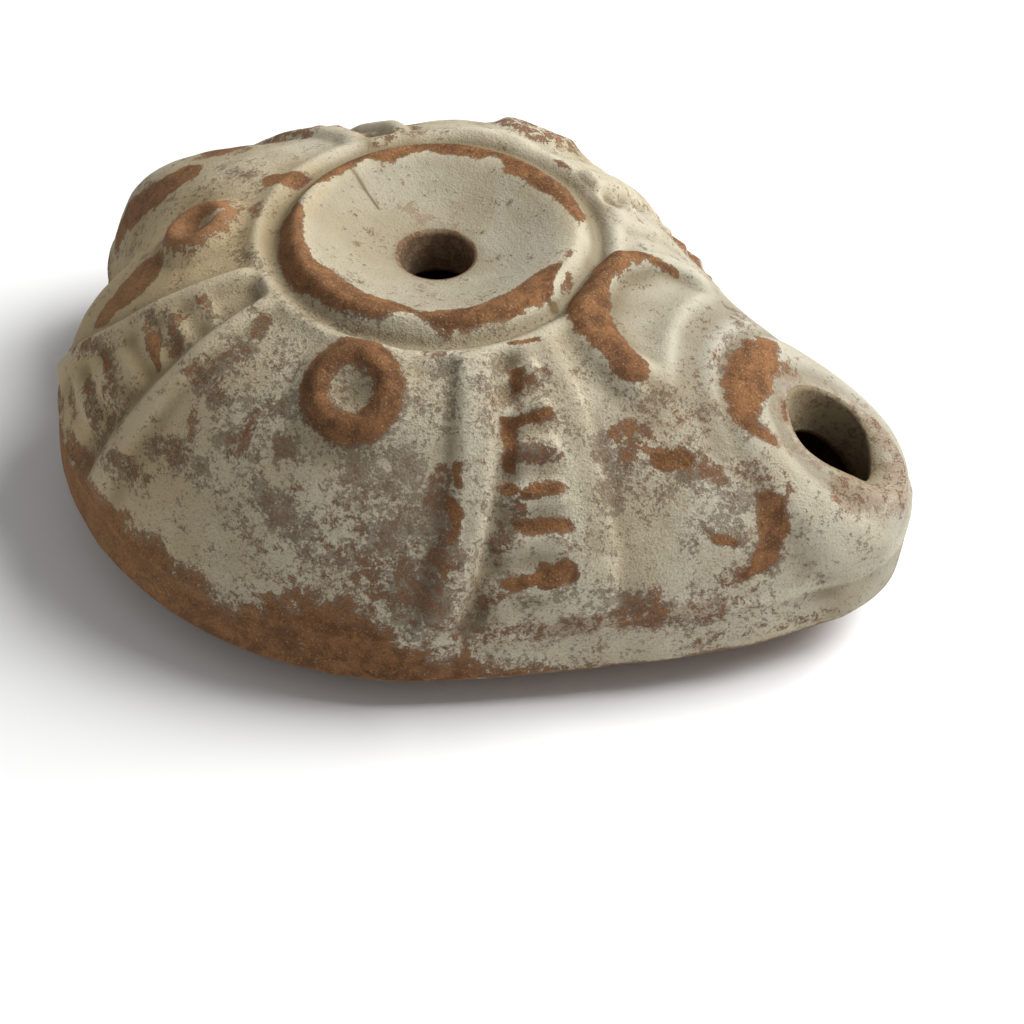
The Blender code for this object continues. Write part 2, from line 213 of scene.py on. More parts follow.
def patternHeight(angle, share, point):
    # the sum of every moulded feature, each a product of bumps across and fades along it
    x, y = point[..., 0], point[..., 1]
    radius = np.hypot(x, y)
    ringAngle = angleAtRing(angle, share)
    height = np.zeros_like(radius)
    for degrees, lowShare, size, spread, shareSpread in pattern["broad"]:
        off = turnBetween(angle, degrees) / math.radians(spread)
        height += size * np.exp(-off ** 2 - ((share - lowShare) / shareSpread) ** 2)
    alongRib = within(share, *pattern["ribRun"])
    backSpread, footSpread = pattern["ribSpread"]
    for degrees, rise, half, side in pattern["ribs"]:
        off = turnBetween(ringAngle, degrees) * radius
        back = off * side < 0
        wide = half * (1 + (footSpread - 1) * share / pattern["ribRun"][1]) * np.where(back, backSpread, 1)
        steep = back & (abs(degrees) > pattern["steepFrom"])
        power = np.where(steep, pattern["steepPower"], pattern["ribPower"])
        height += rise * bump(off, wide, power) * alongRib
    for degrees, side in pattern["channels"]:
        off = turnBetween(ringAngle, degrees) * radius - side * pattern["channelSetOff"]
        height -= pattern["channelDepth"] * bump(off, pattern["channelSetOff"] / 2) * alongRib
    turned = np.abs(np.degrees(ringAngle))
    for first, last, firstShare, step, count, rise in pattern["bars"]:
        length = within(turned, first, last, pattern["barFade"])
        for number in range(count):
            height += rise * length * bump(share - firstShare - number * step, pattern["barHalf"])
    bossOff = []
    for degrees, bossShare, bossRadius in pattern["bosses"]:
        centre = slopePoint(np.array([math.radians(degrees)]), np.array([bossShare]))
        off = np.linalg.norm(point - centre, axis=-1) / bossRadius
        bossOff.append(off)
        ringAt, ringHalf, ringRise = pattern["bossRing"]
        height += pattern["bossHeight"] * np.clip(1 - off ** 2, 0, 1)
        height += ringRise * bump(off - ringAt, ringHalf)
        height -= pattern["bossDimple"][1] * bump(off, pattern["bossDimple"][0])
    archAt, archRadius, archHalf, archRise = pattern["horseshoe"]
    ahead, aside = x - archAt, y - pattern["horseshoeOver"]
    archOff = np.where(ahead < 0, np.hypot(ahead, aside), np.abs(aside)) - archRadius
    archWide = archHalf - pattern["horseshoeTaper"] * np.clip(aside / archRadius, -1, 1)
    arch = bump(archOff, archWide, pattern["flatTop"]) * bump(np.maximum(ahead, 0), archHalf)
    height += archRise * np.where(radius > pattern["groove"][0], arch, 0)
    ridgeHalf, ridgeRise, ridgeReach = pattern["crossRidge"]
    fromWick = np.hypot(x - form["wickReach"], y)
    across = bump(aside, ridgeReach, pattern["flatTop"]) * (x < form["wickReach"])
    for ridgeRadius in pattern["crossRidges"]:
        height += ridgeRise * bump(fromWick - ridgeRadius, ridgeHalf) * across
    collarAt, collarHalf, collarRise = pattern["collar"]
    height += collarRise * bump(fromWick - collarAt, collarHalf, pattern["flatTop"])
    seamAt, seamHalf, seamRise = pattern["seam"]
    height += seamRise * bump(share - seamAt, seamHalf)
    return height, {"bossOff": bossOff, "fromWick": fromWick}


def outerSurface(angle, share, radius):
    # smooth form, plus pattern and unevenness along its normal, or inside the shoulder the ring's turned
    # section; then a lean across, by the height's share of the shoulder's height to a power
    inRing = radius < form["shoulderRadius"]
    base = slopePoint(angle, share)
    flat = np.stack([radius * np.cos(angle), radius * np.sin(angle),
                     np.full_like(radius, form["shoulderHeight"])], axis=-1)
    base = np.where(inRing[..., None], flat, base)
    plan = np.hypot(base[..., 0], base[..., 1])
    turn = np.where(inRing, 0.0, share * math.pi / 2)
    outward = np.stack([np.sin(turn) * np.cos(angle), np.sin(turn) * np.sin(angle), np.cos(turn)], axis=-1)
    height, facts = patternHeight(angle, share, base)
    fade = np.where(inRing, smooth(plan, pattern["reliefFrom"], form["shoulderRadius"]), 1.0)
    uneven = sum(rise * lumps(base, size, seed) for size, rise, seed in pattern["uneven"])
    section = ringSection(plan)
    total = section + height * fade + uneven * np.where(inRing, pattern["unevenInRing"], 1.0)
    point = base + outward * total[..., None]
    leaning = (point[..., 2] / form["shoulderHeight"]) ** form["leanPower"]
    point[..., 2] += form["ringLean"] * point[..., 1] * leaning
    facts.update(relief=section + height * fade + uneven, plan=plan, inRing=inRing)
    return point, facts


def underPoints(angle, rim, low, floor, count):
    # quarter round from the widest line in to the flat: in by (1 - cos)^a, down by sin
    turn = (np.arange(1, count + 1) / count * math.pi / 2)[:, None]
    out = rim * (1 - (1 - form["baseShare"]) * (1 - np.cos(turn)) ** form["underPower"])
    up = low - (low - floor) * np.sin(turn)
    return np.stack([out * np.cos(angle), out * np.sin(angle), np.broadcast_to(up, out.shape)], axis=-1)


def openBlock(angle, share, rows, columns, holeRadius, inset, reachOut):
    # squares of the grid round the wick hole become circles: along each ray from the hole's middle the
    # distance is moved linearly, from the block's edge to the hole and from a wider square to itself
    middle = np.array([form["wickReach"], 0.0])
    r0, r1 = rows
    c0, c1 = columns
    rowMid, rowHalf = (r0 + r1) / 2, (r1 - r0) / 2
    colMid, colHalf = (c0 + c1) / 2, (c1 - c0) / 2
    rowAt, colAt = np.meshgrid(np.arange(angle.shape[0]), np.arange(angle.shape[1]), indexing="ij")
    v, u = (rowAt - rowMid) / rowHalf, (colAt - colMid) / colHalf
    m = np.maximum(np.abs(u), np.abs(v))
    near = (m > grid["blockEdge"]) & (m < reachOut)
    u, v, m = u[near], v[near], m[near]
    angleAlong, shareAlong = angle[0], share[:, 0]

    def planAt(uu, vv):  # plan position of a place in block coordinates
        a = np.interp(colMid + uu * colHalf, np.arange(len(angleAlong)), angleAlong)
        s = np.interp(rowMid + vv * rowHalf, np.arange(len(shareAlong)), shareAlong)
        return slopePoint(a, s, inset)[..., :2] - middle

    here, edge = planAt(u, v), planAt(u / m, v / m)
    far = planAt(u * reachOut / m, v * reachOut / m)
    distance, edgeAt, farAt = (np.linalg.norm(q, axis=-1) for q in (here, edge, far))
    moved = holeRadius + (distance - edgeAt) * (farAt - holeRadius) / (farAt - edgeAt)
    place = middle + here * (moved / distance)[:, None]
    angle, share = angle.copy(), share.copy()
    newAngle = np.arctan2(place[:, 1], place[:, 0])
    angle[near] = newAngle
    share[near] = shareAt(newAngle, np.hypot(place[:, 0], place[:, 1]), inset)
    return angle, share


def blockAround(shares, angles, half, inset):  # rows and columns of the grid that lie over the wick hole
    middleShare = shareAt(np.array([0.0]), np.array([form["wickReach"]]), inset)[0]
    row = int(np.argmin(np.abs(shares - middleShare)))
    column = int(np.argmin(np.abs(angles)))
    return (row - half, row + half), (column - half, column + half)


def perimeter(rows, columns):  # indices round the block, anticlockwise seen from above: out along +x first
    r0, r1 = rows
    c0, c1 = columns
    near = [(r0, c) for c in range(c1, c0, -1)]
    left = [(r, c0) for r in range(r0, r1)]
    far = [(r1, c) for c in range(c0, c1)]
    right = [(r, c1) for r in range(r1, r0, -1)]
    return np.array(near + left + far + right)


def gridFaces(index):  # quads between neighbours of a grid, rows going down and columns anticlockwise, closed
    after = np.roll(index, -1, axis=1)
    return np.stack([index[:-1], index[1:], after[1:], after[:-1]], axis=-1)


def halvingFaces(fine, coarse):  # three triangles for each step of a row with half as many points below it
    f0, f1, f2 = fine[0::2], fine[1::2], np.roll(fine, -2)[0::2]
    c0, c1 = coarse, np.roll(coarse, -1)
    corners = ([f0, c0, f1], [f1, c0, c1], [f1, c1, f2])
    return np.concatenate([np.stack(three, axis=1) for three in corners])


# Columns closer together where the plan reaches far out
dense = np.linspace(-math.pi, math.pi, grid["spacingSteps"])
spacing = np.hypot(*np.moveaxis(slopePoint(dense, np.full_like(dense, grid["evenShare"]))[..., :2], -1, 0))
measure = np.concatenate([[0], np.cumsum((spacing[1:] + spacing[:-1]) / 2)])
columns = np.interp(np.arange(grid["columns"]) / grid["columns"] * measure[-1], measure, dense)
columns = columns - columns[int(np.argmin(np.abs(columns)))]

# Outer rows: from the filling hole's lip out over dish and ring, then down the slope
lip = form["lip"]
ringRadii = np.linspace(form["fillingHole"] + lip, form["shoulderRadius"], grid["ringRows"] + 1)[:-1]
slopeShares = np.linspace(0.0, 1.0, grid["slopeRows"] + 1)
crowded, crowdPower = grid["crowding"]  # a little closer towards the rim
slopeShares = slopeShares * (1 - crowded) + crowded * slopeShares ** crowdPower
rowShares = np.concatenate([np.zeros(len(ringRadii)), slopeShares])
angle = np.broadcast_to(columns, (len(rowShares), len(columns))).copy()
share = np.broadcast_to(rowShares[:, None], angle.shape).copy()
half = grid["holeBlock"] // 2
rows, cols = blockAround(rowShares, columns, half, 0.0)
firstColumn = cols[0] // 2 * 2  # an even one, because the inside has half as many
cols = (firstColumn, firstColumn + 2 * half)
angle, share = openBlock(angle, share, rows, cols, form["wickHole"] + lip, 0.0, grid["blockReach"])
radius = np.concatenate([ringRadii, np.full(len(slopeShares), 1.0)])[:, None] * np.ones_like(angle)
outer, facts = outerSurface(angle, share, radius)
under = underPoints(columns, planRadius(columns), widestHeight(columns), 0.0, grid["underRows"])
rimRelief = outer[-1] - slopePoint(columns, np.ones_like(columns))  # the rim's relief fades out underneath
under = under + rimRelief[None] * np.linspace(1, 0, grid["underRows"] + 1)[1:, None, None]
print("outer surface", outer.shape)

# Inside: half as many columns and rows, a wall's thickness in from the smooth form
wall = form["wall"]
roofDrop = form["dishDrop"] + wall
roofExtra = form["roofDrop"]
innerColumns = columns[0::2]
innerLower = np.linspace(*grid["innerLower"], half + grid["innerLowerMore"])
innerShares = np.concatenate([np.linspace(*grid["innerUpper"]), innerLower, [1.0]])
innerAngle = np.broadcast_to(innerColumns, (len(innerShares), len(innerColumns))).copy()
innerShare = np.broadcast_to(innerShares[:, None], innerAngle.shape).copy()
innerRows, _ = blockAround(innerShares, innerColumns, half // 2, wall)
innerCols = (cols[0] // 2, cols[1] // 2)
innerAngle, innerShare = openBlock(innerAngle, innerShare, innerRows, innerCols, form["wickHole"], wall,
                                   grid["innerBlockReach"])
inner = slopePoint(innerAngle, innerShare, wall, roofDrop + roofExtra * (1 - innerShare))
innerUnder = underPoints(innerColumns, planRadius(innerColumns) - wall, widestHeight(innerColumns),
                         form["floor"], grid["innerUnderRows"])
roof = form["shoulderHeight"] - roofDrop - roofExtra
innerRadii = np.linspace(form["fillingHole"], form["shoulderRadius"], grid["innerRoofRows"] + 1)[:-1, None]
innerRoof = np.stack([innerRadii * np.cos(innerColumns), innerRadii * np.sin(innerColumns),
                      np.full((len(innerRadii), len(innerColumns)), roof)], axis=-1)


def holeWall(upper, lower, middle, radius, steps):
    # from the lip round a quarter circle to the hole's radius, then straight down towards the inside
    ray = upper[:, :2] - middle
    ray = ray / np.linalg.norm(ray, axis=-1, keepdims=True)
    rings = []
    for turn in np.linspace(0, math.pi / 2, grid["lipSteps"] + 1)[1:]:
        flat = middle + ray * (radius + lip * (1 - math.sin(turn)))
        rings.append(np.column_stack([flat, upper[:, 2] - lip * (1 - math.cos(turn))]))
    start = rings[-1][:, 2]
    for t in np.linspace(0, 1, steps + 1)[1:]:
        rings.append(np.column_stack([middle + ray * radius, start + (lower - start) * t]))
    return rings


# All points go into one list, and their numbers into an index, so that the mesh closes
points, parts = [], []
outerPart, underPart, insidePart, fillingPart, wickPart = range(5)


def keep(rowsOfPoints, part):  # adds a grid or a row of points and returns its numbers
    array = np.asarray(rowsOfPoints)
    first = sum(len(block) for block in points)
    points.append(array.reshape(-1, 3))
    parts.append(np.full(len(points[-1]), part))
    return np.arange(first, first + len(points[-1])).reshape(array.shape[:-1])


outerIndex = keep(outer, outerPart)
underIndex = keep(under, underPart)
innerIndex = keep(inner, insidePart)
innerUnderIndex = keep(innerUnder, insidePart)
innerRoofIndex = keep(innerRoof, insidePart)
baseMiddle = keep(np.array([[0.0, 0.0, 0.0]]), underPart)[0]
floorMiddle = keep(np.array([[0.0, 0.0, form["floor"]]]), insidePart)[0]
fillingFoot = np.full(len(columns), roof + form["foot"])
fillingRings = keep(holeWall(outer[0], fillingFoot, np.zeros(2), form["fillingHole"], grid["fillingSteps"]),
                    fillingPart)
middle = np.array([form["wickReach"], 0.0])
outerPer, innerPer = perimeter(rows, cols), perimeter(innerRows, innerCols)
upperEdge = outer[outerPer[:, 0], outerPer[:, 1]]
lowerEdge = inner[innerPer[:, 0], innerPer[:, 1]]
lowerHeights = np.repeat(lowerEdge[:, 2], 2)
wickFoot = (lowerHeights + np.roll(lowerHeights, -1)) / 2 + form["foot"]
wickRings = keep(holeWall(upperEdge, wickFoot, middle, form["wickHole"], grid["wickSteps"]), wickPart)

triangles = []


def addQuads(quads):  # two triangles each
    flat = quads.reshape(-1, 4)
    triangles.extend([flat[:, [0, 1, 2]], flat[:, [0, 2, 3]]])


def withoutBlock(index, blockRows, blockCols):  # grid faces, less those over the wick hole
    quads = gridFaces(index)
    shown = np.ones(quads.shape[:2], dtype=bool)
    shown[blockRows[0]:blockRows[1], blockCols[0]:blockCols[1]] = False
    return quads[shown]


addQuads(withoutBlock(outerIndex, rows, cols))
addQuads(gridFaces(np.concatenate([outerIndex[-1:], underIndex])))
lastUnder = underIndex[-1]
triangles.append(np.stack([lastUnder, np.full_like(lastUnder, baseMiddle), np.roll(lastUnder, -1)], axis=1))
addQuads(withoutBlock(innerIndex, innerRows, innerCols)[:, ::-1])
addQuads(gridFaces(np.concatenate([innerIndex[-1:], innerUnderIndex]))[..., ::-1])
addQuads(gridFaces(np.concatenate([innerRoofIndex, innerIndex[:1]]))[..., ::-1])
lastFloor = innerUnderIndex[-1]
triangles.append(np.stack([np.roll(lastFloor, -1), np.full_like(lastFloor, floorMiddle), lastFloor], axis=1))
addQuads(gridFaces(np.concatenate([outerIndex[:1], fillingRings]))[..., ::-1])
triangles.append(halvingFaces(fillingRings[-1], innerRoofIndex[0])[:, ::-1])
wickTop = outerIndex[outerPer[:, 0], outerPer[:, 1]][None]
addQuads(gridFaces(np.concatenate([wickTop, wickRings]))[..., ::-1])
triangles.append(halvingFaces(wickRings[-1], innerIndex[innerPer[:, 0], innerPer[:, 1]])[:, ::-1])
points = np.concatenate(points)
parts = np.concatenate(parts)
triangles = np.concatenate(triangles)
points = points + np.array([*form["ringCentre"], 0.0])
used = np.unique(triangles)  # the points under the removed blocks go
renumber = np.full(len(points), -1)
renumber[used] = np.arange(len(used))
triangles = renumber[triangles]
print("lamp:", len(used), "points,", len(triangles), "triangles")


def makeMesh(name, coords, faces):  # straight from the arrays, smooth shaded
    mesh = bpy.data.meshes.new(name)
    mesh.vertices.add(len(coords))
    mesh.vertices.foreach_set("co", coords.astype(np.float32).ravel())
    mesh.loops.add(faces.size)
    mesh.loops.foreach_set("vertex_index", faces.astype(np.int32).ravel())
    mesh.polygons.add(len(faces))
    mesh.polygons.foreach_set("loop_start", np.arange(0, faces.size, 3, dtype=np.int32))
    mesh.polygons.foreach_set("use_smooth", np.ones(len(faces), dtype=bool))
    mesh.update()
    mesh.validate()
    piece = bpy.data.objects.new(name, mesh)
    bpy.context.scene.collection.objects.link(piece)
    return piece


def setField(piece, name, values):  # one number for each point
    layer = piece.data.attributes.new(name, "FLOAT", "POINT")
    layer.data.foreach_set("value", np.asarray(values, dtype=np.float32))


lamp = makeMesh("lampFine", points[used], triangles)


# Where the slip is gone. A stroke is angle, share, half width in millimetres, angle, share and so on
wear = {
    "strokes": (
        (-44.7, .185, .55, -44.7, .223), (-49.8, .331, .45, -40.6, .331), (-49, .34, .5, -51, .444),
        (-52.9, .507, .42, -51, .503), (-48.8, .515, .5, -43.1, .507), (-51.1, .595, .48, -42.9, .603),
        (-47.6, .72, .9, -43.9, .712), (-54.1, .732, .45, -48.8, .728), (-61.7, .436, .35, -61.4, .482),
        (-63.8, .528, .5, -62.3, .553, .4, -63.2, .603), (-41.9, .0762, .3, -34.7, .0888),
        (-159.3, .423, 2.1, -157.8, .486, 1.5, -156.7, .578),
        (169.2, .427, 1.4, 172.7, .515, 1.5, 173.9, .653, 1.1, 174.6, .745), (173, .11, 1.1, 168.4, .003),
        (-140, .423, .38, -134, .461), (-147.2, .582, .3, -143.7, .595), (-107.7, .465, .2, -106.7, .427),
        (14, .214, .28, 14.3, .16, .42, 14.6, .118, .62, 10.9, .0721, .93, 6.8, .0344, 1.6, -1.2, .00518,
         2.12, -13.7, .0637, 1.92, -17, .122, 1.6, -18.8, .189, 1.5, -19.4, .227, 1.4, -19.9, .264),
        (7.6, .003, 1.2, 7.2, .0135),
        (6.5, .423, .7, 2.6, .406, 1.32, -1.3, .406, 1.55, -5.2, .415, 1.1, -7.8, .432, .72, -9.5, .444, .57,
         -10, .465, .43, -10.1, .49, .43, -9.7, .515), (-2.2, .494, .35, -4.4, .511),
        (-23.7, .49, .85, -21, .49), (-22.2, .682, .35, -20.5, .703), (-14.6, .632, .85, -16.4, .72),
        (-16.9, .732, .8, -18.5, .766), (-19.1, .774, .5, -21.1, .791), (4.2, .687, .4, 1.4, .707)),
    # the slip is only broken through here
    "broken": (
        (-50.9, .523, .32, -50.6, .565), (-48.3, .415, .36, -41.7, .432), (-55.3, .636, .45, -54, .624),
        (-57.7, .783, .45, -54.7, .741), (-42.1, .218, .36, -38.3, .214), (-63.7, .611, .54, -64.9, .657),
        (-64.8, .444, .54, -66.2, .515), (-19, .77, .45, -23, .787), (-68.6, .0679, .36, -65, .0679),
        (-143.1, .415, .32, -141.1, .423), (-137.3, .365, .36, -133.3, .406),
        (-124.1, .369, .5, -119.1, .377), (-121, .277, .5, -119, .281), (-108.2, .478, .58, -107.2, .436),
        (-140.7, .603, .43, -136, .67), (-149, .774, .43, -146, .774), (-145.7, .674, .43, -139.3, .703),
        (-138.5, .26, .29, -134.5, .273), (-141.6, .348, .29, -138.7, .352),
        (-150.5, .607, .65, -153.1, .67), (-121.2, .151, .43, -119.4, .206),
        (-121.2, .306, .43, -120.6, .281), (-124.7, .398, .43, -123.7, .373),
        (-118.7, .377, .43, -116.8, .411), (-118.9, .478, .36, -117, .507), (-122.3, .59, .58, -117, .574),
        (-128.1, .691, .43, -126.3, .691, .43, -123.1, .678), (-106.6, .411, .43, -101.9, .36),
        (-99.5, .44, .36, -97, .448), (-107.5, .511, .36, -108.6, .465), (-25.3, .411, .72, -24.7, .44),
        (-24.3, .448, .54, -23.5, .465), (-20.2, .503, .63, -18.2, .54), (-13.9, .561, .63, -12.7, .603),
        (-27.9, .406, .36, -28.2, .448), (162.9, .448, .63, 160.3, .352), (148.8, .427, .81, 146.2, .31),
        (127.1, .0888, .45, 133.7, .0386), (-173.4, .11, .36, -168.2, .0846),
        (5.6, .687, .81, 1.9, .745, .81, -1.4, .766), (-7.4, .682, .9, -2.3, .72),
        (-36.5, .799, .45, -31.8, .808), (-46.1, .858, .45, -38.6, .854, .54, -32.2, .85),
        (-26.9, .954, .36, -20.1, .954), (-18.6, .962, .27, -11.7, .975), (-62.6, .87, .54, -49.4, .866),
        (-69.3, .916, .54, -61, .9), (2.6, .423, .45, 4.4, .478)),
    # it is thin and grey here
    "thin": (
        (-6.3, .561, .5, -6.4, .628), (-19.5, .691, .5, -19, .758), (-49.4, .866, .8, -34.8, .866),
        (-31.7, .85, .5, -24.4, .854), (-8.4, .519, .6, -6.3, .561), (-4.9, .528, .5, -5.3, .549),
        (-7.9, .691, .9, -2.3, .728), (-3.3, .745, .7, 2.8, .762)),
    # it is speckled with small pits here
    "specked": (
        (-158, .147, .9, -138.3, .0553), (167.9, .31, 1.2, 176.9, .131),
        (-18.9, .327, .45, -12.9, .406, .3, -12.3, .482), (11.1, .369, .5, -2.1, .323, .6, -10.6, .36),
        (-30.2, .373, .7, -30.8, .448), (-144, .406, .9, -137.2, .419), (-137.3, .365, .8, -127.2, .386),
        (-137.1, .26, .9, -124.6, .26), (-121.3, .168, 1, -112, .177), (-118, .239, 1.4, -121.4, .402),
        (-121.8, .406, 1.2, -114.7, .415), (-109.4, .356, 1.3, -98.1, .356), (-100.4, .436, 1, -94.5, .452),
        (-111.3, .494, .9, -104.4, .486), (-148.4, .578, .8, -141.4, .574), (-138.8, .603, .7, -131.5, .641),
        (-147.1, .678, .7, -138.6, .699), (-76.7, .448, 3.8, -69, .758), (-69.4, .515, 2.2, -65.7, .753),
        (-63.9, .753, 1, -60.6, .841), (-36.5, .193, .7, -37.4, .26), (-48.3, .415, .7, -40.8, .432),
        (-31.8, .406, 1.2, -33.1, .561), (-21.9, .553, 1.4, -17.7, .615), (-21.1, .649, 1, -17.6, .766),
        (-46, .749, 1.2, -34.2, .812), (-54.5, .21, .8, -47.7, .151), (-64.6, .131, 1.2, -62.6, .256),
        (127.5, .0888, .8, 112.9, .0679), (-123.9, .62, 1.4, -112.6, .582),
        (-137.1, .737, 1.6, -123.2, .699), (-104.6, .557, 1.4, -83.2, .678)),
    # dirt and painted shade lie in these hollows: beside the ribs, round the horseshoe and in the groove left
    # of the ring
    "dirty": (
        (-49, .1, .75, -59.5, .6, .7, -61.5, .84), (-33, .12, 1, -36, .4, 1.2, -38, .66),
        (-19, .3, .8, -24, .24), (-129.5, .3, .8, -133, .66), (-146, .4, .5, -153, .62),
        (-122.5, .4, .4, -126, .64), (-12, .38, .9, -16, .5), (-18, .31, .8, -14, .38)),
    "smudged": ((-18.9, .218, 1.4, -20, .277),),
    # the greatest value of each field, and how steeply it falls past the half width, per millimetre
    "edges": {"strokes": (1.05, 1.5), "broken": (.31, .7), "mirrored": (.72, .9), "thin": (1, .7),
              "specked": (1, .5), "dirty": (1.05, 1.5), "smudged": (1, .4), "ringBand": (1.05, 1.2)},
    "shareLength": 36,  # millimetres down the slope, about
    "stray": (.3, .0013, 21, 22),  # millimetres by which edges wander, size of the lumps, two seeds
    # strokes between these angles and past this share show on the far side too, this much
    "mirrored": ((-160, -60, 0), (-60, -20, .5)), "farSide": .8,
    # flakes are likelier here: angle, share, half angle, half share, amount; and everywhere a little
    "zones": (
        (-82, .66, 20, .17, .21), (-72, .75, 12, .1, .2), (-28, .86, 10, .05, .25),
        (-140, .45, 14, .4, .05), (-120, .4, 8, .35, .04), (-48, .45, 9, .35, .12),
        (-25, .48, 9, .14, .16), (-180, .45, 18, .5, .16), (-5, .36, 20, .1, .12), (90, .7, 30, .2, .22),
        (140, .6, 20, .3, .18), (45, .55, 20, .35, .16)),
    "everywhere": .1, "everywhereWander": .05, "wander": (.0022, 11),  # size of the lumps, seed
    # the bare band on the ring: angle, middle radius and half width in millimetres
    "ringBand": (
        (-180, 14.3, .4), (-174, 14.3, .6), (-168, 14.2, 1.3), (-150, 14, 1.5), (-132, 13.7, 1.9),
        (-120, 13.1, 2), (-100, 12.9, 2), (-86, 12.7, 1.8), (-80, 12.6, 1.1), (-75, 13, .6),
        (-71, 13.2, .8), (-66, 13.4, 1.2), (-60, 13.5, 1.4), (-50, 13.2, 1.5), (-40, 13.1, 1.7),
        (-28, 12.9, 1.8), (-18, 13.1, 2.1), (-6, 13.3, 1.9), (2, 13.3, .5), (12, 13.2, .1), (22, 13.6, .1),
        (30, 13.9, .6), (36, 13.9, 1.1), (46, 13.8, 1.4), (58, 13.7, 2), (78, 13.5, 2), (84, 13.6, 1.1),
        (88, 13.5, .6), (94, 13.4, 1.4), (110, 13.4, 1.4), (117, 13.4, .95), (126, 13.4, 1),
        (134, 13.4, 1.6), (140, 13.5, 1.4), (145, 13.6, .8), (156, 13.6, 1.1), (168, 13.8, 1.1),
        (175, 14.1, .6), (180, 14.3, .4)),
    "ringInset": .35, "ringWander": .3,
    # bare on the bosses, in shares of their radius: two rings with half widths, and the back one's whole top
    "nearBoss": (.56, .24), "farBoss": (.57, .24), "farBossAmount": .45, "backBoss": .72,
    "bossPower": 4,
    # the bare rim starts at these shares
    "rimAngles": (-180, -145, -125, -115, -100, -88, -78, -66, -50, -28, 0, 40, 90, 130, 160, 180),
    "rimShares": (.9, .87, .81, .83, .88, .81, .83, .93, 1.02, 1.08, 1.04, .93, .86, .88, .9, .9),
    "rimWander": .03, "rimFade": .12, "rimPeak": 1.2,
    # marks in plan, x, y, half width, x, y in millimetres: cracks, stains, dimples and slip that stayed
    "cracks": (
        (-11.4, 5.4, .22, -9.4, 4, .16, -7.5, 2.9), (-15.2, 16.8, .5, -12.5, 11.5),
        (4.1, 8.2, .25, 4.2, 8.5), (-7, -3, .25, -7.2, -2.7), (2.8, 4.4, .2, 2.9, 4.6),
        (14.2, -4.7, .4, 14.4, -5)),
    "stains": ((-6, 4.3, .8, -4.3, 4.5, .8, -2.5, 3.6), (-3, 4.9, .4, 0, 4.6)),
    "dimples": ((20.8, -1.5, 1.3, 21.6, -.6), (23.8, -3, 1.4, 24.6, -1.5), (20.2, 2.6, .8, 20.6, 3)),
    "kept": ((13.6, .6, .45, 13.9, -3, .3, 14.3, -4.6), (-22.6, -5.1, .85, -21.6, -4.8)),
    "wickBand": (.005, .0007, .9),  # thin round the wick hole: radius, half width, amount
    # dirt and painted shade lie in hollows this deep below the blurred relief, and what stands above it gets
    # a painted highlight; painted shade lies in the ring's groove on its left side, away from the light, the
    # dish darkens towards the filling hole, and so on
    "hollowDepth": .0003, "blurRounds": 30, "crestHighlightFrom": .1,
    "ringGrooveShade": (.016, .0019, .96), "ringGrooveShadeRun": (175, 262, 20), "dishDarkening": (.0124, .011, .22),
    "bossDirt": (.56, .3, .6), "strokeDirtAndShade": .6, "crackDirt": 1.3, "dimpleDirt": .34, "smudgeDirt": .8,
    # 0 to 1 between two places: warmer and lighter at the back of the near side, which lies in shade, painted
    #                            fill light over a warmer tint of the slip there;
    # greyer on the nozzle's far side and in the dish, coarser on the near side
    "warmFillAlong": (.01, -.03), "warmFillAcross": (.012, -.004),
    "greyAlong": (.006, .034), "greyAcross": (-.014, 0), "greyDish": (.013, .0115, .5),
    "coarseAlong": (-.02, -.006), "coarseAcross": (-.003, -.016),
    # each field's one value on the underside, inside, in the filling hole and in the wick hole; in both holes
    # the high dirt values, and in the filling hole the thin and bare ones too, darken the walls as painted
    # shade
    "elsewhere": {"bare": (.62, .75, .45, .15), "thin": (.2, .3, 1.4, .3),
                  "dirt": (.1, .5, 1.2, 1.1), "specked": (.3, 0, .5, .5), "warm": (.3, 0, .5, 0),
                  "grey": (0, 0, 0, 0), "crest": (0, 0, 0, 0), "coarse": (.5, 0, 0, 0)},
}


outerDegrees = np.degrees(turnBetween(angle, 0.0))
plan = facts["plan"]
slope = np.where(facts["inRing"], 0.0, 1.0)
x, y = outer[..., 0], outer[..., 1]
strayBy, strayLumps, *straySeeds = wear["stray"]
strayAcross, strayDown = (strayBy * lumps(outer, strayLumps, seed) for seed in straySeeds)


def degreesFrom(place):  # angle of each outer point less that of a place, between -180 and 180
    return (outerDegrees - place + 180) % 360 - 180


def legs(strokes):  # each stretch of each stroke: two places, then the half width
    return [(*stroke[at:at + 2], *stroke[at + 3:at + 5], stroke[at + 2])
            for stroke in strokes for at in range(0, len(stroke) - 2, 3)]


def strokeField(kind, lines=None):
    # half at the half width, and from there by steep times the millimetres in or out, between 0 and peak; the
    # distance is taken from a place that lattice noise has moved, which makes the patches ragged
    peak, steep = wear["edges"][kind]
    field = np.zeros_like(plan)
    across, down = np.radians(1.0) * plan * 1000, wear["shareLength"]
    for angle0, share0, angle1, share1, halfWidth in lines or legs(wear[kind]):
        px, py = degreesFrom(angle0) * across + strayAcross, (share - share0) * down + strayDown
        bx, by = (angle1 - angle0) * across, (share1 - share0) * down
        t = np.clip((px * bx + py * by) / (bx * bx + by * by + 1e-9), 0, 1)
        distance = np.hypot(px - bx * t, py - by * t)
        field = np.maximum(field, np.clip(0.5 + (halfWidth - distance) * steep, 0, peak))
    return field * slope


def planField(kind):  # e to the minus (distance to the line over its half width) squared, the greatest of all
    field = np.zeros_like(plan)
    for x0, y0, x1, y1, halfWidth in legs(wear[kind]):
        px, py, bx, by = x * 1000 - x0, y * 1000 - y0, x1 - x0, y1 - y0
        t = np.clip((px * bx + py * by) / (bx * bx + by * by), 0, 1)
        field = np.maximum(field, bump(np.hypot(px - bx * t, py - by * t), halfWidth))
    return field


